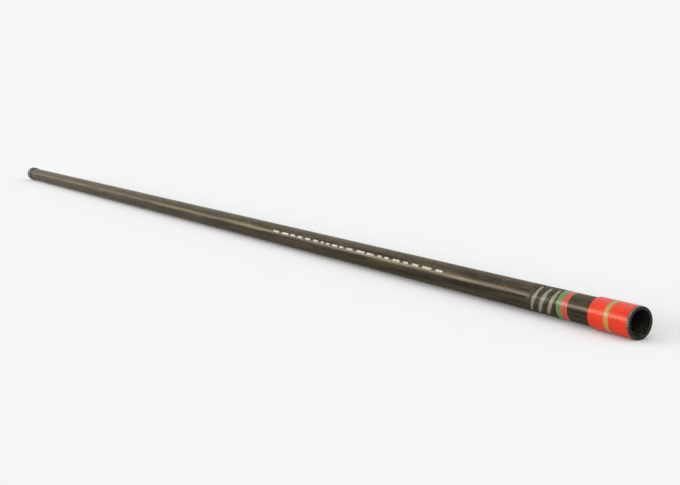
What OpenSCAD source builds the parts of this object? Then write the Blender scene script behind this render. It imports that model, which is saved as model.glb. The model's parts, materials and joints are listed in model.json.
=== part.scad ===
// One joint of threaded oilfield pipe with its coupling and its two thread protectors.
// The pipe lies along X with the coupling at +X. Z is up, and the origin is on the
// ground below the middle of the whole joint.

/* [Pipe] */
// Outside diameter of the pipe
pipe_od = 139.7; // [127:0.1:152.4]
// Wall thickness of the pipe
pipe_wall = 9.17; // [7:0.01:10.6]
// Length of the pipe from nose to nose
pipe_len = 9950; // [7620:10:10360]
// Bevel on the inner and outer edge of each nose
nose_bevel = 1; // [0.4:0.1:1.2]

/* [Coupling] */
// Thickness of the coupling outside the pipe
coupling_wall = 6.985; // [5:0.005:12]
// Length of the coupling
coupling_len = 234.95; // [225:0.05:260]
// Bevel on the coupling's outer edges
coupling_bevel = 2.2; // [1:0.1:3]
// Distance from the coupling's middle to the nose of the pipe inside it
makeup_gap = 12.7; // [10:0.1:15]
// Gap between the pipe and the recess at each mouth of the coupling
recess_gap = 1.78; // [1.4:0.01:2.2]
// Depth of the recess at each mouth
recess_depth = 6; // [3:0.1:8]

/* [Buttress thread] */
// Distance from one thread to the next
thread_pitch = 5.08; // [4:0.01:6]
// Height of a full thread
thread_height = 1.575; // [1.2:0.005:1.7]
// Length of the thread from the nose to where it runs out
thread_len = 97.15; // [85:0.05:100]
// Growth of the thread's diameter for each unit of its length
thread_taper = 0.0625; // [0.05:0.0005:0.07]
// Amount by which the thread's largest diameter passes the pipe's own
thread_over = 0.41; // [0.1:0.01:0.6]
// Angle of the flank that carries the load
load_flank = 3; // [0:0.5:5]
// Angle of the flank that leads on the way in
stab_flank = 10; // [6:0.5:15]
// Clearance between the pipe's thread and the coupling's
steel_gap = 0.05; // [0.02:0.01:0.1]
// Clearance of the protectors' threads
plastic_gap = 0.25; // [0.1:0.01:0.4]

/* [Thread protectors] */
// Thickness of the flange on the plug in the coupling
flange_thick = 12; // [8:0.5:20]
// Amount by which the flange is smaller than the coupling, on the radius
flange_inset = 1.2; // [0.8:0.1:3]
// Length of the plug inside the coupling
plug_reach = 98; // [80:0.5:100]
// Thickness of the cap's lip in front of the far nose
lip_thick = 12; // [8:0.5:20]
// Length of the cap's skirt over the far thread
skirt_len = 102; // [98:0.5:120]
// Thickness of the cap's skirt outside the pipe
skirt_wall = 4.7; // [4.3:0.1:5.4]
// Rounding of the protectors' outer rims
rim_round = 2; // [1:0.1:3]
// Bevel at the mouths of the protectors
mouth_bevel = 1.2; // [0.5:0.1:2]
// Number of grip ribs round the cap
rib_count = 16; // [8:2:24]
// Width of a grip rib
rib_width = 8; // [4:0.5:12]
// Clear length of skirt beyond the ribs at each end
rib_margin = 5; // [3:0.5:15]
// Number of grip flutes round the flange
flute_count = 32; // [16:1:48]
// Radius of a grip flute
flute_radius = 4; // [2:0.5:5]
// Depth of a grip flute
flute_depth = 0.8; // [0.3:0.1:1]

/* [Hidden] */
$fn = 96;

pipe_r = pipe_od / 2;
bore_r = pipe_r - pipe_wall;
coupling_r = pipe_r + coupling_wall;
recess_r = pipe_r + recess_gap;
flange_r = coupling_r - flange_inset;
skirt_r = pipe_r + skirt_wall;

// Along a thread, s is the distance from the plane of the nose towards the pipe's middle
face_s = coupling_len / 2 - makeup_gap;
recess_s = face_s - recess_depth;
plug_s = face_s - plug_reach;
root_start_r = (pipe_od + thread_over - thread_len * thread_taper) / 2;
runout_s = (pipe_r - root_start_r) * 2 / thread_taper;

// The ribs straddle the lowest line, so that the cap stands on two ribs at the coupling's height
rib_step = 360 / rib_count;
rib_tip_r = (coupling_r - rib_width / 2 * sin(rib_step / 2)) / cos(rib_step / 2);

total_len = lip_thick + pipe_len + makeup_gap + coupling_len / 2 + flange_thick;
far_nose_x = lip_thick - round(total_len / 2);
near_nose_x = far_nose_x + pipe_len;
coupling_x = near_nose_x + makeup_gap;
axis_z = coupling_r;

// Overlap of shapes that are joined or cut
eps = 1;

// Radius at the root of the pipe's thread
function root_r(s) = root_start_r + s * thread_taper / 2;

// Number of the first thread that starts after s, and of the last one that ends before it
function thread_after(s) = ceil(s / thread_pitch);
function thread_before(s) = floor(s / thread_pitch) - 1;

// One thread as [radius, s] points from the nose on. The gap widens it all round for a groove, and
// narrows it when negative, but leaves the load flank where it is, so that mating flanks touch.
function tooth(k, gap, top_r) =
    let (
        middle_s = (k + 0.5) * thread_pitch,
        half = thread_pitch / 4,
        middle_r = root_r(middle_s) + thread_height / 2,
        stab_low = root_r(middle_s - half) + gap,
        load_low = root_r(middle_s + half) + gap,
        stab_high = min(stab_low + thread_height, top_r),
        load_high = min(load_low + thread_height, top_r)
    )
    load_high <= load_low ? [] : [
        [stab_low, stab_s(stab_low, middle_r, middle_s - half - gap)],
        [stab_high, stab_s(stab_high, middle_r, middle_s - half - gap)],
        [load_high, load_s(load_high, middle_r, middle_s + half)],
        [load_low, load_s(load_low, middle_r, middle_s + half)]
    ];

function stab_s(r, middle_r, s) = s + (r - middle_r) * tan(stab_flank);
function load_s(r, middle_r, s) = s - (r - middle_r) * tan(load_flank);

function thread_line(first, last, gap, top_r) = [for (k = [first:last]) each tooth(k, gap, top_r)];
function shifted(line, by) = [for (p = line) [p[0], p[1] + by]];
function both_halves(line) = concat(line, [for (i = [len(line) - 1:-1:0]) [line[i][0], -line[i][1]]]);

// Outline of a threaded end of the pipe, from its nose to its plain stretch
nose_line = concat(
    [
        [root_r(0) - nose_bevel, 0],
        [root_r(nose_bevel), nose_bevel]
    ],
    thread_line(0, thread_before(runout_s), 0, pipe_r),
    [[pipe_r, runout_s], [pipe_r, thread_len]]
);

// Outline of one half of the coupling, from its middle to its outside
box_line = concat(
    thread_line(thread_after(-makeup_gap), thread_before(recess_s), steel_gap, coupling_r),
    [
        [root_r(recess_s) + steel_gap, recess_s],
        [recess_r, recess_s],
        [recess_r, face_s],
        [coupling_r - coupling_bevel, face_s],
        [coupling_r, face_s - coupling_bevel]
    ]
);

// Lays a shape that was made along Z down along X, with its start at x
module along_x(x) {
    translate([x, 0, axis_z]) rotate([0, 90, 0]) children();
}

// Square bar of a ring's section between two radii and two places, with its outer corners rounded
module rounded_ring(inner_r, outer_r, from_s, to_s) {
    low_s = from_s + rim_round;
    high_s = to_s - rim_round;
    translate([inner_r, from_s]) square([outer_r - rim_round - inner_r, to_s - from_s]);
    translate([inner_r, low_s]) square([outer_r - inner_r, high_s - low_s]);
    for (s = [low_s, high_s])
        translate([outer_r - rim_round, s]) circle(rim_round);
}

// Threaded end of the pipe, solid right through
module nose() {
    rotate_extrude() polygon(concat([[0, 0]], nose_line, [[0, thread_len]]));
}

// Cone that bevels the bore at a nose
module bore_bevel() {
    translate([0, 0, -eps])
        cylinder(r1 = bore_r + nose_bevel + eps, r2 = bore_r, h = nose_bevel + eps);
}

module pipe() {
    color([0.27, 0.25, 0.2])
        difference() {
            union() {
                along_x(far_nose_x) nose();
                along_x(far_nose_x + thread_len) cylinder(r = pipe_r, h = pipe_len - 2 * thread_len);
                along_x(near_nose_x) mirror([0, 0, 1]) nose();
            }
            along_x(far_nose_x - eps) cylinder(r = bore_r, h = pipe_len + 2 * eps);
            along_x(far_nose_x) bore_bevel();
            along_x(near_nose_x) mirror([0, 0, 1]) bore_bevel();
        }
}

module coupling() {
    color([0.85, 0.2, 0.1])
        along_x(coupling_x)
            rotate_extrude() polygon(both_halves(shifted(box_line, makeup_gap)));
}

module plug_section() {
    neck_s = recess_s + plastic_gap;
    polygon(concat(
        [
            [bore_r + mouth_bevel, plug_s],
            [root_r(plug_s) - plastic_gap - mouth_bevel, plug_s],
            [root_r(plug_s) - plastic_gap, plug_s + mouth_bevel]
        ],
        thread_line(thread_after(plug_s + mouth_bevel), thread_before(recess_s), -plastic_gap, coupling_r),
        [
            [root_r(neck_s) - plastic_gap, neck_s],
            [recess_r - plastic_gap, neck_s],
            [recess_r - plastic_gap, face_s + eps],
            [bore_r, face_s + eps],
            [bore_r, plug_s + mouth_bevel]
        ]
    ));
    difference() {
        rounded_ring(bore_r, flange_r, face_s, face_s + flange_thick);
        translate([bore_r, face_s + flange_thick])
            rotate(45) square(mouth_bevel * sqrt(2), center = true);
    }
}

module box_protector() {
    color([0.13, 0.13, 0.12])
        along_x(coupling_x + makeup_gap)
            difference() {
                rotate_extrude() plug_section();
                for (i = [0:flute_count - 1])
                    rotate(i * 360 / flute_count)
                        translate([flange_r + flute_radius - flute_depth, 0, face_s + rim_round])
                            cylinder(r = flute_radius, h = flange_thick);
            }
}

module cap_section() {
    inside = concat(
        [
            [bore_r + mouth_bevel + eps, -lip_thick - eps],
            [bore_r, mouth_bevel - lip_thick],
            [bore_r, 0],
            [root_r(0) + plastic_gap, 0]
        ],
        thread_line(0, thread_before(skirt_len), plastic_gap, skirt_r),
        [
            [root_r(skirt_len) + plastic_gap, skirt_len - mouth_bevel],
            [root_r(skirt_len) + plastic_gap + mouth_bevel, skirt_len + eps],
            [0, skirt_len + eps],
            [0, -lip_thick - eps]
        ]
    );
    difference() {
        rounded_ring(bore_r - eps, skirt_r, -lip_thick, skirt_len);
        polygon(inside);
    }
}

// Envelope that ends the grip ribs in slopes
module rib_envelope() {
    rib_rise = rib_tip_r - skirt_r;
    rotate_extrude() polygon([
        [skirt_r - eps, rib_margin - lip_thick],
        [skirt_r, rib_margin - lip_thick],
        [rib_tip_r + eps, rib_margin - lip_thick + rib_rise + eps],
        [rib_tip_r + eps, skirt_len - rib_margin - rib_rise - eps],
        [skirt_r, skirt_len - rib_margin],
        [skirt_r - eps, skirt_len - rib_margin]
    ]);
}

module grip_ribs() {
    intersection() {
        rib_envelope();
        for (i = [0:rib_count - 1])
            rotate((i + 0.5) * rib_step)
                translate([skirt_r - eps, -rib_width / 2, -lip_thick])
                    cube([rib_tip_r - skirt_r + eps, rib_width, lip_thick + skirt_len]);
    }
}

module pin_protector() {
    color([0.13, 0.13, 0.12])
        along_x(far_nose_x) {
            rotate_extrude() cap_section();
            grip_ribs();
        }
}

pipe();
coupling();
box_protector();
pin_protector();
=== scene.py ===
import json
import math
import random

import bmesh
import bpy
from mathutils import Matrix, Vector, noise


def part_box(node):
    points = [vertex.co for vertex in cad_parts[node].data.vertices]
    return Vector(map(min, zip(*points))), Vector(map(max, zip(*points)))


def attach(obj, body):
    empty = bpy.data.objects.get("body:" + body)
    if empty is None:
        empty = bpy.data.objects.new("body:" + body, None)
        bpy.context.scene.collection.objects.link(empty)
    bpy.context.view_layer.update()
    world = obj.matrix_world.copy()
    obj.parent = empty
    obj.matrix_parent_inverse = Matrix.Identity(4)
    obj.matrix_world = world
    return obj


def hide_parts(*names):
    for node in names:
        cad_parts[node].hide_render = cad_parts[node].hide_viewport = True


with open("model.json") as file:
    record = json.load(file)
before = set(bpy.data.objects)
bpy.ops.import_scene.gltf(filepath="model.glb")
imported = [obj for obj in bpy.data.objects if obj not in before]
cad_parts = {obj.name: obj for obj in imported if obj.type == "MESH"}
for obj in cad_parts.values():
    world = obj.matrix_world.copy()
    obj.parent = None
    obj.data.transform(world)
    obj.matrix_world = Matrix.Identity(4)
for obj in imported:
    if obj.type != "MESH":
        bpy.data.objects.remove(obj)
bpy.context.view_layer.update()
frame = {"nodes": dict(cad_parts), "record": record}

# The looks of one threaded oilfield pipe joint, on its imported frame. Lengths are metres in the frame's
# own coordinates: X runs along the pipe towards the coupling, and Z is up from the ground.

# Sizes and places read from the frame
COUPLING_LOW, COUPLING_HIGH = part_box("coupling")
PIPE_LOW, PIPE_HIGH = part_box("pipe")
AXIS_Z = (COUPLING_LOW.z + COUPLING_HIGH.z) / 2
COUPLING_R = AXIS_Z - COUPLING_LOW.z
PIPE_R = AXIS_Z - PIPE_LOW.z
BORE_R = frame["record"]["mounts"][0]["dims"]["r_mm"] / 1000
WALL_MID_R = (PIPE_R + BORE_R) / 2
FLANGE_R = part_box("box_protector")[1].z - AXIS_Z
CAP_MOUTH_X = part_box("pin_protector")[1].x
COUPLING_BACK_X = COUPLING_LOW.x
COUPLING_MID_X = (COUPLING_LOW.x + COUPLING_HIGH.x) / 2
COUPLING_HALF = (COUPLING_HIGH.x - COUPLING_LOW.x) / 2

# How finely the turned skins are made
AROUND = 128
RING_STEP = 0.05
SECTIONS = 13
SHARP = math.radians(28)

# When two places count as one: in a CAD mesh, and in decimals at an outline's ends and at its rings
WELD = 2e-6
END_DECIMALS = 5
RING_DECIMALS = 7

# Across a skin's map: the share that the outside takes, and the gap between it and the rest
OUTER_SHARE = 0.7
ISLAND_GAP = 0.02

# The mill's unevenness of the pipe's outside, which fades out towards the coupling and the cap
WAVE_DEPTH = 0.00022
WAVE_PER_M = 2.3
WAVE_ROUND = 1.4
WAVE_FADE = 0.12

# Paint films: how far they stand proud and reach under the surface, how wide their sloping edge is, and
# how many times thinner it ends. The green one lies over the red one's edge, so it is thicker.
FILM = 0.00015
GREEN_FILM = 0.00021
FILM_SUNK = 0.0006
FILM_EDGE = 0.0012
FILM_EDGE_THINNER = 3

# How far a painted edge wanders, in a slow wave and a finer one, each scaled along the pipe and round it
EDGE_RAGGED = 0.0011
RAGGED_SLOW = (37, 2.1)
RAGGED_FINE = (91, 9)
RAGGED_FINE_SHARE = 0.4

# Colour bands: the olive one round the coupling, the red and the green one behind it on the pipe
OLIVE_WIDE = 0.028
OLIVE_OFF_CENTRE = -0.005
BARE_BEHIND = 0.137
RED_WIDE = 0.039
GREEN_WIDE = 0.035
GREEN_OVER_RED = 0.001
GREEN_LOW = COUPLING_BACK_X - BARE_BEHIND - RED_WIDE + GREEN_OVER_RED - GREEN_WIDE

# Behind the bands: a dull, scuffed stretch crossed by three pale slanted strokes
SCUFF_LONG = 0.21
SCUFF_FADE = 0.014
STROKES = 3
STROKE_STEP = 0.060
STROKE_FIRST = 0.045
STROKE_WIDE = 0.026
STROKE_TIP = 0.3
STROKE_BLUNT = 0.4
STROKE_LEAN = 0.022
STROKE_ANGLES = (math.radians(40), math.radians(165))
STROKE_ROWS = 48
STROKE_COLUMNS = (-1, -0.6, -0.2, 0.2, 0.6, 1)
STROKE_RAGGED = 2.6
STROKE_UNEVEN = 0.14
STROKE_SEED = 5

# Farther along: one broken line of plain dashes, in the place of lettering. It is made in groups
# shorter than a length of the pipe, because the longest piece sets how fine all the maps are.
DASH_GROUPS = 4
GROUP_DASHES = 5
DASHES_START = 0.9
DASH_LONG = (0.035, 0.09)
DASH_GAP = (0.028, 0.05)
DASH_TALL = math.radians(10)
DASH_ANGLE = math.radians(118)
DASH_ROWS = 4
DASH_COLUMNS = 10
DASH_SEED = 11

# Colours, linear
VARNISH = (0.040, 0.032, 0.0175, 1)
VARNISH_DARK = (0.010, 0.008, 0.0045, 1)
VARNISH_PALE = (0.062, 0.051, 0.027, 1)
RUST = (0.070, 0.030, 0.012, 1)
SCUFF_DARK = (0.009, 0.0075, 0.005, 1)
SCUFF_PALE = (0.042, 0.037, 0.024, 1)
BORE = (0.022, 0.018, 0.014, 1)
BORE_RUST = (0.07, 0.032, 0.016, 1)
RED = (0.365, 0.0145, 0.0008, 1)
RED_DEEP = (0.305, 0.0105, 0.0008, 1)
RED_CHALK = (0.45, 0.05, 0.012, 1)
STEEL_DARK = (0.045, 0.040, 0.034, 1)
PHOSPHATE = (0.052, 0.052, 0.050, 1)
OLIVE = (0.23, 0.15, 0.033, 1)
BAND_RED = (0.30, 0.024, 0.009, 1)
BAND_GREEN = (0.048, 0.110, 0.027, 1)
MARK = (0.26, 0.255, 0.21, 1)
STROKE = (0.125, 0.12, 0.088, 1)
PLASTIC = (0.0055, 0.0055, 0.004, 1)
PLASTIC_WORN = (0.030, 0.031, 0.024, 1)
# The protector's pale outer rim: partly rubbed wear, partly a painted highlight of its lit edge
PLASTIC_RIM_WEAR_AND_HIGHLIGHT = (0.16, 0.16, 0.13, 1)
DUST = (0.30, 0.26, 0.185, 1)
FLOOR_DARK = (0.524, 0.525, 0.527, 1)
FLOOR_PALE = (0.540, 0.542, 0.543, 1)

# Tints of what each surface mirrors
VARNISH_SHINE = (0.58, 0.53, 0.43, 1)
ENAMEL_SHINE = (1, 0.85, 0.65, 1)
BAND_SHINE = (1, 0.9, 0.75, 1)

# How dark a colour band is in its brush streaks, as a share of its own colour
BAND_DEEP = 0.62

# What is added to a surface's roughness by its grain, where it is scuffed and where it is chipped
GRAIN_DULLS = 0.08
SCUFF_DULLS = 0.14
CHIP_DULLS = 0.25

# How far in from its outer edge a protector's rim is painted pale, partly as rubbed wear and partly as a
# painted highlight of its lit edge, and the coupling's enamel chipped more, and how much that edge adds to
# the noise that chips it
RIM_WEAR_AND_HIGHLIGHT = 0.0015
CHIPPED_ZONE = 0.010
CHIPPED_MORE = 0.16

# Rubbed paint: how strongly the varnish shows through it at most, and the scales along X, Y and Z of the
# noise that rubs it, in brush streaks round the pipe or in wear along it
STROKES_WORN = 0.85
DASHES_WORN = 0.4
BRUSHED_ROUND = (260, 22, 22)
RUBBED_ALONG = (14, 45, 45)

# Floor and camera
FLOOR_R = 160.0
FLOOR_AROUND = 64
CAMERA_PLACE = Vector((8.10, -3.37, 1.06))
CAMERA_AIM = Vector((2.515, 0.0, 0.12))
CAMERA_LENS = 54.0

# The studio's light, and where its parts fade in and out, as shares of a direction along one of the axes
HORIZON = (0.92, 0.92, 0.92, 1)
ZENITH = (1.5, 1.5, 1.5, 1)
KEY = (12.5, 12.4, 12.2, 1)
SKY_RISE = (0.2, 0.8)
KEY_FOOT = (0.06, 0.18)
KEY_HEAD = (0.18, 0.45)
KEY_SIDE = (-0.55, -0.05)
KEY_BACK = (-1.0, -0.80)


# Turned skins

def outline_of(node):
    """The closed outline that a turned CAD node sweeps, as (x, radius) points in order."""
    shape = bmesh.new()
    shape.from_mesh(frame["nodes"][node].data)
    bmesh.ops.remove_doubles(shape, verts=shape.verts, dist=WELD)
    everything = shape.verts[:] + shape.edges[:] + shape.faces[:]
    cut = bmesh.ops.bisect_plane(
        shape, geom=everything, dist=WELD, plane_co=(0, 0, AXIS_Z), plane_no=(0, 1, 0)
    )
    edges = {
        e
        for e in cut["geom_cut"]
        if isinstance(e, bmesh.types.BMEdge) and max(v.co.z for v in e.verts) < AXIS_Z
    }
    here = min((v for e in edges for v in e.verts), key=lambda v: (v.co.x, v.co.z))
    outline = []
    while here is not None:
        outline.append((here.co.x, AXIS_Z - here.co.z))
        step = next((e for e in here.link_edges if e in edges), None)
        edges.discard(step)
        here = step.other_vert(here) if step else None
    shape.free()
    return outline[:-1]


def between(outline, low, high):
    """The part of a closed outline between two places along the pipe."""
    for station, side in ((low, 1), (high, -1)):
        kept = []
        for (xa, ra), (xb, rb) in zip(outline, outline[1:] + outline[:1]):
            a_stays = side * (xa - station) >= 0
            b_stays = side * (xb - station) >= 0
            if a_stays:
                kept.append((xa, ra))
            if a_stays != b_stays:
                kept.append((station, ra + (rb - ra) * (station - xa) / (xb - xa)))
        outline = kept
    return outline


def two_runs(outline):
    """The outline as two open runs: the outside from end to end, and all the rest."""
    ends = [(round(x, END_DECIMALS), radius) for x, radius in outline]
    start = max(range(len(outline)), key=lambda i: (-ends[i][0], ends[i][1]))
    outline = outline[start:] + outline[:start]
    ends = ends[start:] + ends[:start]
    end = max(range(len(outline)), key=lambda i: ends[i])
    runs = [outline[: end + 1], outline[end:] + outline[:1]]
    mean = [sum(r for _, r in run) / len(run) for run in runs]
    if mean[0] >= mean[1]:
        return runs
    return [run[::-1] for run in reversed(runs)]


def with_rings(run):
    """The run with its long straight stretches cut into rings RING_STEP apart at most."""
    points = [run[0]]
    for (xa, ra), (xb, rb) in zip(run, run[1:]):
        count = max(1, math.ceil(math.hypot(xb - xa, rb - ra) / RING_STEP))
        points += [(xa + (xb - xa) * i / count, ra + (rb - ra) * i / count) for i in range(1, count + 1)]
    return points


def on_axis(x, radius, angle):
    """The point at that place along the pipe, radius and angle, which is 0 below the axis."""
    return Vector((x, -radius * math.sin(angle), AXIS_Z - radius * math.cos(angle)))


def turned(name, outline, shape=None):
    """A closed outline turned about the axis, with a map of two islands: outside, and the rest.

    shape(x, radius, angle) moves each point, and gives its new x and radius. Faces of the outside take
    the first material and the others the second.
    """
    made = bmesh.new()
    uv = made.loops.layers.uv.new("OFBake")
    rings = {}

    def ring(x, radius):
        key = (round(x, RING_DECIMALS), round(radius, RING_DECIMALS))
        if key not in rings:
            angles = [math.tau * k / AROUND for k in range(AROUND)]
            places = [shape(x, radius, a) if shape else (x, radius) for a in angles]
            rings[key] = [made.verts.new(on_axis(px, pr, a)) for (px, pr), a in zip(places, angles)]
        return rings[key]

    shares = (OUTER_SHARE, 1 - OUTER_SHARE - ISLAND_GAP)
    for island, (run, share) in enumerate(zip(two_runs(outline), shares)):
        left = island * (OUTER_SHARE + ISLAND_GAP)
        points = with_rings(run)
        lengths = [math.dist(a, b) for a, b in zip(points, points[1:])]
        whole = sum(lengths)
        done = 0.0
        for (xa, ra), (xb, rb), length in zip(points, points[1:], lengths):
            low, high = done / whole, (done + length) / whole
            done += length
            one, two = ring(xa, ra), ring(xb, rb)
            for k in range(AROUND):
                after = (k + 1) % AROUND
                face = made.faces.new((one[k], one[after], two[after], two[k]))
                face.material_index = island
                face.smooth = True
                sides = (k, k + 1, k + 1, k)
                for loop, side, up in zip(face.loops, sides, (low, low, high, high)):
                    loop[uv].uv = (left + share * side / AROUND, up)
    bmesh.ops.recalc_face_normals(made, faces=made.faces)
    return finished(name, made)


def finished(name, made):
    """The object of that name with the bmesh's faces, riding on the frame."""
    mesh = bpy.data.meshes.new(name)
    made.to_mesh(mesh)
    made.free()
    mesh.set_sharp_from_angle(angle=SHARP)
    piece = bpy.data.objects.new(name, mesh)
    bpy.context.scene.collection.objects.link(piece)
    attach(piece, "root")
    return piece


def smooth(x):
    """0 below 0, 1 above 1, and a soft slope between."""
    x = min(max(x, 0), 1)
    return x * x * (3 - 2 * x)


def wavy(x, angle, along, around):
    """A smooth noise from -1 to 1 over the pipe's surface, with one scale along it and one round it."""
    return noise.noise(Vector((x * along, around * math.cos(angle), around * math.sin(angle))))


def mill_wave(x, angle):
    """How far the rolled pipe's outside stands from true round there."""
    fade = smooth((x - CAP_MOUTH_X) / WAVE_FADE) * smooth((COUPLING_BACK_X - x) / WAVE_FADE)
    return WAVE_DEPTH * fade * wavy(x, angle, WAVE_PER_M, WAVE_ROUND)


def pipe_shape(x, radius, angle):
    """The pipe's skin: its outside waves a little, and its bore stays true."""
    return x, radius + (mill_wave(x, angle) if radius > WALL_MID_R else 0)


def ragged(x, angle):
    """How far a painted edge near x wanders at that angle."""
    fine = RAGGED_FINE_SHARE * wavy(x, angle, *RAGGED_FINE)
    return EDGE_RAGGED * (wavy(x, angle, *RAGGED_SLOW) + fine)


def band(name, low, high, radius, wave=None, film=FILM):
    """A painted band round a cylinder of that radius: a film with thin, ragged edges."""
    edge_film = film / FILM_EDGE_THINNER
    outline = [
        (low, radius - FILM_SUNK),
        (low, radius + edge_film),
        (low + FILM_EDGE, radius + film),
        (high - FILM_EDGE, radius + film),
        (high, radius + edge_film),
        (high, radius - FILM_SUNK),
    ]

    def shape(x, r, angle):
        edge = low if abs(x - low) < abs(x - high) else high
        return x + ragged(edge, angle), r + (wave(x, angle) if wave else 0)

    return turned(name, outline, shape)


def patch(made, rows):
    """Adds a closed film of paint over a grid of (x, angle) points on the pipe's outside."""
    def layer(height):
        return [
            [made.verts.new(on_axis(x, PIPE_R + mill_wave(x, a) + height, a)) for x, a in row]
            for row in rows
        ]

    over, under = layer(FILM), layer(-FILM_SUNK)
    last_row, last_column = len(rows) - 1, len(rows[0]) - 1
    for sheet in (over, under):
        for i in range(last_row):
            for j in range(last_column):
                corners = (sheet[i][j], sheet[i][j + 1], sheet[i + 1][j + 1], sheet[i + 1][j])
                made.faces.new(corners).smooth = True
    rim = [(0, j) for j in range(last_column)] + [(i, last_column) for i in range(last_row)]
    rim += [(last_row, j) for j in range(last_column, 0, -1)] + [(i, 0) for i in range(last_row, 0, -1)]
    for (ia, ja), (ib, jb) in zip(rim, rim[1:] + rim[:1]):
        made.faces.new((over[ia][ja], over[ib][jb], under[ib][jb], under[ia][ja]))


def slanted_strokes():
    """The pale brushed strokes across the scuffed stretch: no two alike, thinner at both their ends."""
    made = bmesh.new()
    draw = random.Random(STROKE_SEED)
    for stroke in range(STROKES):
        middle = GREEN_LOW - STROKE_FIRST - STROKE_STEP * stroke
        wide, lean, start = (1 + draw.uniform(-STROKE_UNEVEN, STROKE_UNEVEN) for _ in range(3))
        low, high = STROKE_ANGLES[0] * start, STROKE_ANGLES[1]
        rows = []
        for i in range(STROKE_ROWS):
            along = i / (STROKE_ROWS - 1)
            angle = low + (high - low) * along
            swell = STROKE_TIP + (1 - STROKE_TIP) * math.sin(math.pi * along) ** STROKE_BLUNT
            half = STROKE_WIDE * wide / 2 * swell
            centre = middle + STROKE_LEAN * lean * (1 - 2 * (1 - along) ** 2)
            row = []
            for side in STROKE_COLUMNS:
                wander = STROKE_RAGGED * abs(side) * ragged(middle + side * half, angle)
                row.append((centre + side * half + wander, angle))
            rows.append(row)
        patch(made, rows)
    bmesh.ops.recalc_face_normals(made, faces=made.faces)
    return finished("slanted_strokes", made)


def plain_dashes():
    """One broken line of dashes along the pipe: a generic mark in the place of lettering."""
    draw = random.Random(DASH_SEED)
    here = GREEN_LOW - DASHES_START
    groups = []
    for group in range(DASH_GROUPS):
        made = bmesh.new()
        for _ in range(GROUP_DASHES):
            long = draw.uniform(*DASH_LONG)
            rows = []
            for i in range(DASH_ROWS):
                angle = DASH_ANGLE + DASH_TALL * (i / (DASH_ROWS - 1) - 0.5)
                ends = (here + ragged(here, angle), here - long + ragged(here - long, angle))
                columns = [j / (DASH_COLUMNS - 1) for j in range(DASH_COLUMNS)]
                rows.append([(ends[0] + (ends[1] - ends[0]) * c, angle) for c in columns])
            patch(made, rows)
            here -= long + draw.uniform(*DASH_GAP)
        bmesh.ops.recalc_face_normals(made, faces=made.faces)
        groups.append(finished(f"plain_dashes_{group + 1}", made))
    return groups


# Materials

class Graph:
    """A node tree. Each call makes nodes, wires them and gives back the socket that holds the result."""

    def __init__(self, tree, coordinates):
        self.tree = tree
        self.places = tree.nodes.new("ShaderNodeTexCoord").outputs[coordinates]

    def wire(self, value, socket):
        """Links another node's result to the socket, or sets it to a plain value."""
        if isinstance(value, bpy.types.NodeSocket):
            self.tree.links.new(value, socket)
        else:
            socket.default_value = value

    def stretched(self, scales):
        """The coordinates times a scale for each of X, Y and Z."""
        node = self.tree.nodes.new("ShaderNodeVectorMath")
        node.operation = "MULTIPLY"
        self.wire(self.places, node.inputs[0])
        self.wire(scales, node.inputs[1])
        return node.outputs[0]

    def noise(self, scale, detail=4, roughness=0.55, distortion=0):
        """Noise of one scale, or of three in a tuple, for X, Y and Z."""
        node = self.tree.nodes.new("ShaderNodeTexNoise")
        uneven = isinstance(scale, tuple)
        settings = {
            "Vector": self.stretched(scale) if uneven else self.places,
            "Scale": 1 if uneven else scale,
            "Detail": detail,
            "Roughness": roughness,
            "Distortion": distortion,
        }
        for socket, value in settings.items():
            self.wire(value, node.inputs[socket])
        return node.outputs["Fac"]

    def level(self, value, low, high, to_low=0.0, to_high=1.0):
        """to_low where the value is below low, to_high where it is above high, and a soft slope between."""
        node = self.tree.nodes.new("ShaderNodeMapRange")
        node.interpolation_type = "SMOOTHSTEP"
        self.wire(value, node.inputs["Value"])
        for socket, number in zip(("From Min", "From Max", "To Min", "To Max"), (low, high, to_low, to_high)):
            node.inputs[socket].default_value = number
        return node.outputs["Result"]

    def fall(self, value, low, high):
        """1 where the value is below low, 0 where it is above high, and a soft slope between."""
        return self.level(value, low, high, to_low=1.0, to_high=0.0)

    def math(self, operation, a, b=0.0):
        """One math node's result."""
        node = self.tree.nodes.new("ShaderNodeMath")
        node.operation = operation
        self.wire(a, node.inputs[0])
        self.wire(b, node.inputs[1])
        return node.outputs[0]

    def times(self, a, b):
        """a times b."""
        return self.math("MULTIPLY", a, b)

    def plus(self, a, b):
        """a plus b."""
        return self.math("ADD", a, b)

    def mix(self, share, a, b):
        """Colour a where the share is 0, and colour b where it is 1."""
        node = self.tree.nodes.new("ShaderNodeMix")
        node.data_type = "RGBA"
        self.wire(share, node.inputs["Factor"])
        self.wire(a, node.inputs["A"])
        self.wire(b, node.inputs["B"])
        return node.outputs["Result"]

    def cover(self, colour, paint, where, most=1.0):
        """The colour with the paint over it where the mask is 1, never more strongly than most."""
        share = self.times(where, most) if most < 1 else where
        return self.mix(share, colour, paint)

    def axes(self, vector=None):
        """The parts of a vector, or of the coordinates, along X, Y and Z."""
        node = self.tree.nodes.new("ShaderNodeSeparateXYZ")
        self.wire(vector or self.places, node.inputs[0])
        return node.outputs


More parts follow.
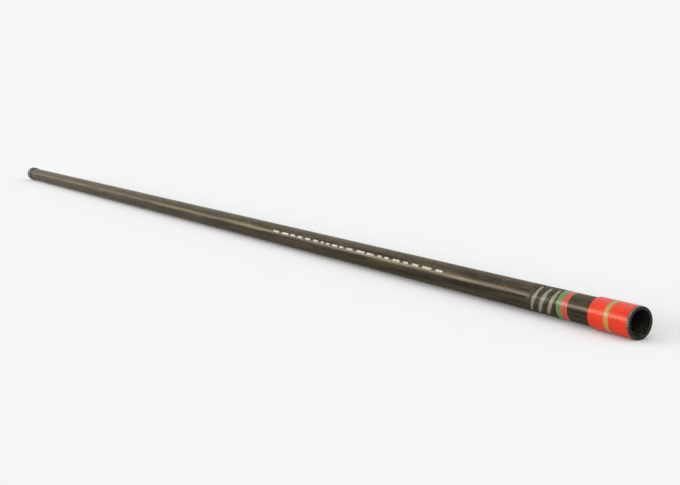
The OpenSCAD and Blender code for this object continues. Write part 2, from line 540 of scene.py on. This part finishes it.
class Look(Graph):
    """A material round one principled shader, whose constant sockets are given by name."""

    def __init__(self, name, **constants):
        self.material = bpy.data.materials.new(name)
        self.material.use_nodes = True
        super().__init__(self.material.node_tree, "Object")
        self.shader = self.tree.nodes["Principled BSDF"]
        for socket, value in constants.items():
            self.shader.inputs[socket.replace("_", " ")].default_value = value

    def upward(self):
        """How far the surface faces up, from -1 to 1."""
        node = self.tree.nodes.new("ShaderNodeNewGeometry")
        return self.axes(node.outputs["Normal"])["Z"]

    def from_axis(self):
        """The distance from the pipe's axis."""
        places = self.axes()
        up = self.math("SUBTRACT", places["Z"], AXIS_Z)
        squares = [self.times(side, side) for side in (places["Y"], up)]
        return self.math("SQRT", self.plus(*squares))

    def bump(self, height, deep, under=None):
        """A normal for a relief that deep, laid over the one under it."""
        node = self.tree.nodes.new("ShaderNodeBump")
        node.inputs["Distance"].default_value = deep
        self.wire(height, node.inputs["Height"])
        if under:
            self.wire(under, node.inputs["Normal"])
        return node.outputs["Normal"]

    def done(self, colour, roughness, normal):
        """The finished material."""
        self.wire(colour, self.shader.inputs["Base Color"])
        self.wire(roughness, self.shader.inputs["Roughness"])
        self.wire(normal, self.shader.inputs["Normal"])
        return self.material


def varnish():
    """Olive-brown varnish over mill scale: mottled, streaked along the pipe, specked with rust."""
    look = Look(
        "varnished_steel",
        Metallic=0.72,
        IOR=1.36,
        Specular_Tint=VARNISH_SHINE,
        Coat_Weight=0.12,
        Coat_Roughness=0.16,
    )
    streaks = look.noise((1.7, 42, 42), detail=5, roughness=0.6)
    blotches = look.noise((4.5, 13, 13), detail=6, roughness=0.62, distortion=0.5)
    colour = look.mix(look.level(streaks, 0.38, 0.62), VARNISH_DARK, VARNISH)
    colour = look.cover(colour, VARNISH_PALE, look.level(blotches, 0.5, 0.78), most=0.55)

    rust_runs = look.noise((4, 26, 26), roughness=0.6)
    colour = look.cover(colour, RUST, look.level(rust_runs, 0.58, 0.74), most=0.55)
    specks = look.times(look.level(look.noise(260, detail=2), 0.66, 0.74), look.level(blotches, 0.4, 0.6))
    colour = look.cover(colour, RUST, specks, most=0.7)

    scratches = look.level(look.noise((9, 420, 420), detail=3, roughness=0.7), 0.66, 0.72)
    scratches = look.times(scratches, look.level(look.noise(2.2, detail=2), 0.5, 0.62))
    colour = look.cover(colour, VARNISH_PALE, scratches, most=0.5)

    settled = look.level(look.noise((9, 60, 60), detail=6, roughness=0.7), 0.42, 0.72)
    dusty = look.times(look.level(look.upward(), 0.35, 1), settled)
    colour = look.cover(colour, DUST, dusty, most=0.16)

    x = look.axes()["X"]
    far_edge = GREEN_LOW - SCUFF_LONG
    scuffed = look.times(
        look.level(x, far_edge - SCUFF_FADE, far_edge + SCUFF_FADE),
        look.fall(x, GREEN_LOW, GREEN_LOW + SCUFF_FADE),
    )
    mottle = look.level(look.noise(48, roughness=0.65, distortion=0.8), 0.42, 0.60)
    colour = look.cover(colour, look.mix(mottle, SCUFF_DARK, SCUFF_PALE), scuffed, most=0.78)

    grain = look.noise(420, detail=3, roughness=0.6)
    roughness = look.level(blotches, 0.3, 0.8, to_low=0.25, to_high=0.38)
    roughness = look.plus(roughness, look.times(grain, GRAIN_DULLS))
    roughness = look.plus(roughness, look.times(scuffed, SCUFF_DULLS))
    normal = look.bump(grain, deep=0.00006)
    normal = look.bump(look.noise(38, roughness=0.6), deep=0.0005, under=normal)
    return look.done(colour, roughness, normal)


def bore_steel():
    """The pipe's inside and its cut ends: dark mill scale with some rust."""
    look = Look("bore_scale", Metallic=0.2)
    patches = look.noise(14, detail=5, roughness=0.6)
    colour = look.mix(look.level(patches, 0.48, 0.72), BORE, BORE_RUST)
    roughness = look.level(patches, 0.3, 0.8, to_low=0.45, to_high=0.75)
    return look.done(colour, roughness, look.bump(look.noise(160, roughness=0.6), deep=0.0003))


def enamel():
    """The coupling's orange-red enamel: clouded, chipped at its edges, scratched along and round."""
    look = Look(
        "coupling_enamel",
        Specular_IOR_Level=0.2,
        Specular_Tint=ENAMEL_SHINE,
        Coat_Weight=0.09,
        Coat_Roughness=0.12,
    )
    clouds = look.noise(22, roughness=0.5)
    colour = look.mix(look.level(clouds, 0.25, 0.60), RED_DEEP, RED)
    chalk = look.level(look.noise(60, roughness=0.6), 0.58, 0.80)
    colour = look.cover(colour, RED_CHALK, chalk, most=0.35)

    along = look.noise((30, 900, 900), detail=3, roughness=0.6)
    around = look.noise((1400, 16, 16), detail=2, roughness=0.5)
    scratches = look.math("MAXIMUM", look.level(along, 0.70, 0.74), look.level(around, 0.74, 0.78))
    scratches = look.times(scratches, look.level(look.noise(11, detail=2), 0.50, 0.60))
    colour = look.cover(colour, RED_CHALK, scratches, most=0.4)

    from_middle = look.math("ABSOLUTE", look.math("SUBTRACT", look.axes()["X"], COUPLING_MID_X))
    edge = look.level(from_middle, COUPLING_HALF - CHIPPED_ZONE, COUPLING_HALF, to_high=CHIPPED_MORE)
    chips = look.level(look.plus(look.noise(240, detail=3, roughness=0.6), edge), 0.74, 0.76)
    colour = look.cover(colour, STEEL_DARK, chips)

    roughness = look.level(clouds, 0.3, 0.8, to_low=0.26, to_high=0.40)
    roughness = look.plus(roughness, look.times(chips, CHIP_DULLS))
    orange_peel = look.noise(330, detail=2, roughness=0.5)
    normal = look.bump(orange_peel, deep=0.00012)
    normal = look.bump(look.math("SUBTRACT", 1.0, chips), deep=0.0002, under=normal)
    return look.done(colour, roughness, normal)


def phosphate():
    """The coupling's bare insides: grey phosphate on the thread and faces."""
    look = Look("phosphated_thread", Metallic=0.5)
    patches = look.noise(45)
    colour = look.mix(look.level(patches, 0.4, 0.7), STEEL_DARK, PHOSPHATE)
    roughness = look.level(patches, 0.3, 0.8, to_low=0.4, to_high=0.6)
    return look.done(colour, roughness, look.bump(look.noise(700, detail=2), deep=0.0001))


def band_paint(name, tint):
    """A brushed band of that colour under clear varnish, thin in places and chipped."""
    look = Look(
        name,
        Specular_IOR_Level=0.3,
        Specular_Tint=BAND_SHINE,
        Coat_Weight=0.16,
        Coat_Roughness=0.18,
    )
    brushed = look.noise((260, 20, 20), roughness=0.6)
    deep_tint = (*(part * BAND_DEEP for part in tint[:3]), 1)
    colour = look.mix(look.level(brushed, 0.34, 0.64), deep_tint, tint)
    worn = look.level(look.noise(120, roughness=0.65), 0.62, 0.70)
    colour = look.cover(colour, STEEL_DARK, worn, most=0.75)
    roughness = look.level(brushed, 0.3, 0.7, to_low=0.28, to_high=0.44)
    return look.done(colour, roughness, look.bump(brushed, deep=0.00012))


def mark_paint(name, tint, streaks, worn):
    """Pale paint rubbed thin: the varnish shows through it in streaks, at most as much as worn says."""
    look = Look(name, Specular_IOR_Level=0.25, Coat_Weight=0.1, Coat_Roughness=0.2)
    rubbed = look.noise(streaks, detail=5, roughness=0.65)
    colour = look.cover(tint, VARNISH, look.level(rubbed, 0.38, 0.66), most=worn)
    roughness = look.level(rubbed, 0.3, 0.7, to_low=0.4, to_high=0.55)
    return look.done(colour, roughness, look.bump(rubbed, deep=0.0001))


def protector_plastic():
    """Black moulded plastic with a dull skin, paler where it is rubbed, and a pale outer rim that is partly
    rubbed wear and partly a painted highlight.
    """
    look = Look("protector_plastic", Specular_IOR_Level=0.2)
    clouds = look.noise(34, roughness=0.6)
    colour = look.cover(PLASTIC, PLASTIC_WORN, look.level(clouds, 0.52, 0.80), most=0.35)
    rubs = look.noise((520, 40, 40), detail=3, roughness=0.6)
    colour = look.cover(colour, PLASTIC_WORN, look.level(rubs, 0.62, 0.70), most=0.5)
    # The outer rim painted pale: partly rubbed wear, partly a painted highlight of its lit edge
    rim = look.level(look.from_axis(), FLANGE_R - RIM_WEAR_AND_HIGHLIGHT, FLANGE_R + RIM_WEAR_AND_HIGHLIGHT)
    rim = look.times(rim, look.level(look.noise(26, detail=3), 0.35, 0.6))
    colour = look.cover(colour, PLASTIC_RIM_WEAR_AND_HIGHLIGHT, rim)
    dusty = look.times(look.level(look.upward(), 0.2, 1), look.level(look.noise(70), 0.45, 0.75))
    colour = look.cover(colour, DUST, dusty, most=0.3)
    roughness = look.level(clouds, 0.3, 0.8, to_low=0.42, to_high=0.58)
    grain = look.noise(1500, detail=2, roughness=0.6)
    return look.done(colour, roughness, look.bump(grain, deep=0.00008))


# Pieces

def dress(piece, materials, slot, *nodes):
    """Gives a piece its materials and hides the CAD nodes that it stands for. The slot argument is not used.
    """
    for material in materials:
        piece.data.materials.append(material)
    if nodes:
        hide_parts(*nodes)


def pipe_skin():
    """The pipe in equal lengths, end to end, so that each gets a fine map of its own when exported."""
    outline = outline_of("pipe")
    materials = [varnish(), bore_steel()]
    step = (PIPE_HIGH.x - PIPE_LOW.x) / SECTIONS
    for i in range(SECTIONS):
        low = PIPE_LOW.x + step * i
        section = turned(f"pipe_length_{i + 1:02d}", between(outline, low, low + step), pipe_shape)
        dress(section, materials, "pipe_varnish", "pipe")


def coupling_skin():
    """The coupling with its outside as round as the pipe's, enamelled outside and bare inside."""
    skin = turned("coupling_skin", outline_of("coupling"))
    dress(skin, [enamel(), phosphate()], "coupling_red", "coupling")


def colour_bands():
    """The olive band round the coupling, and the red and the green one behind it on the pipe."""
    middle = COUPLING_MID_X + OLIVE_OFF_CENTRE
    olive = band("olive_band", middle - OLIVE_WIDE / 2, middle + OLIVE_WIDE / 2, COUPLING_R)
    dress(olive, [band_paint("olive_paint", OLIVE)] * 2, "band_olive")
    red_high = COUPLING_BACK_X - BARE_BEHIND
    red = band("red_band", red_high - RED_WIDE, red_high, PIPE_R, wave=mill_wave)
    dress(red, [band_paint("red_paint", BAND_RED)] * 2, "band_red")
    green_high = GREEN_LOW + GREEN_WIDE
    green = band("green_band", GREEN_LOW, green_high, PIPE_R, wave=mill_wave, film=GREEN_FILM)
    dress(green, [band_paint("green_paint", BAND_GREEN)] * 2, "band_green")


def painted_marks():
    """The slanted strokes and the dashes, each in its own rubbed paint."""
    stroke_paint = mark_paint("stroke_paint", STROKE, BRUSHED_ROUND, STROKES_WORN)
    dress(slanted_strokes(), [stroke_paint], "paint_marks")
    dash_paint = mark_paint("dash_paint", MARK, RUBBED_ALONG, DASHES_WORN)
    for dashes in plain_dashes():
        dress(dashes, [dash_paint], "paint_marks")


def protectors():
    """The two CAD nodes that stay as they are, in another material."""
    material = protector_plastic()
    for node in ("box_protector", "pin_protector"):
        slots = frame["nodes"][node].data.materials
        for i in range(len(slots)):
            slots[i] = material


# Stage

def floor():
    """A plain pale floor, wide enough to reach the horizon."""
    made = bmesh.new()
    bmesh.ops.create_circle(made, cap_ends=True, segments=FLOOR_AROUND, radius=FLOOR_R)
    mesh = bpy.data.meshes.new("floor")
    made.to_mesh(mesh)
    made.free()
    piece = bpy.data.objects.new("floor", mesh)
    bpy.context.scene.collection.objects.link(piece)
    look = Look("floor_paint", Specular_IOR_Level=0.0)
    colour = look.mix(look.noise(3), FLOOR_DARK, FLOOR_PALE)
    normal = look.bump(look.noise(90, detail=3), deep=0.0002)
    mesh.materials.append(look.done(colour, roughness=0.85, normal=normal))


def studio():
    """A pale surround, brightest overhead, with one long soft light on the viewer's side."""
    world = bpy.data.worlds.new("studio")
    bpy.context.scene.world = world
    world.use_nodes = True
    graph = Graph(world.node_tree, "Generated")
    way = graph.axes()
    sky = graph.mix(graph.level(way["Z"], *SKY_RISE), HORIZON, ZENITH)
    height = graph.times(graph.level(way["Z"], *KEY_FOOT), graph.fall(way["Z"], *KEY_HEAD))
    place = graph.times(graph.fall(way["Y"], *KEY_SIDE), graph.level(way["X"], *KEY_BACK))
    glow = graph.mix(graph.times(height, place), sky, KEY)
    graph.wire(glow, world.node_tree.nodes["Background"].inputs["Color"])
    view = bpy.context.scene.view_settings
    view.view_transform = "Standard"
    view.look = "None"


def camera():
    """The camera at the photograph's viewing angle."""
    lens = bpy.data.cameras.new("camera")
    lens.lens = CAMERA_LENS
    eye = bpy.data.objects.new("camera", lens)
    eye.location = CAMERA_PLACE
    eye.rotation_euler = (CAMERA_AIM - CAMERA_PLACE).to_track_quat("-Z", "Y").to_euler()
    bpy.context.scene.collection.objects.link(eye)
    bpy.context.scene.camera = eye


camera()
pipe_skin()
coupling_skin()
colour_bands()
painted_marks()
protectors()
floor()
studio()
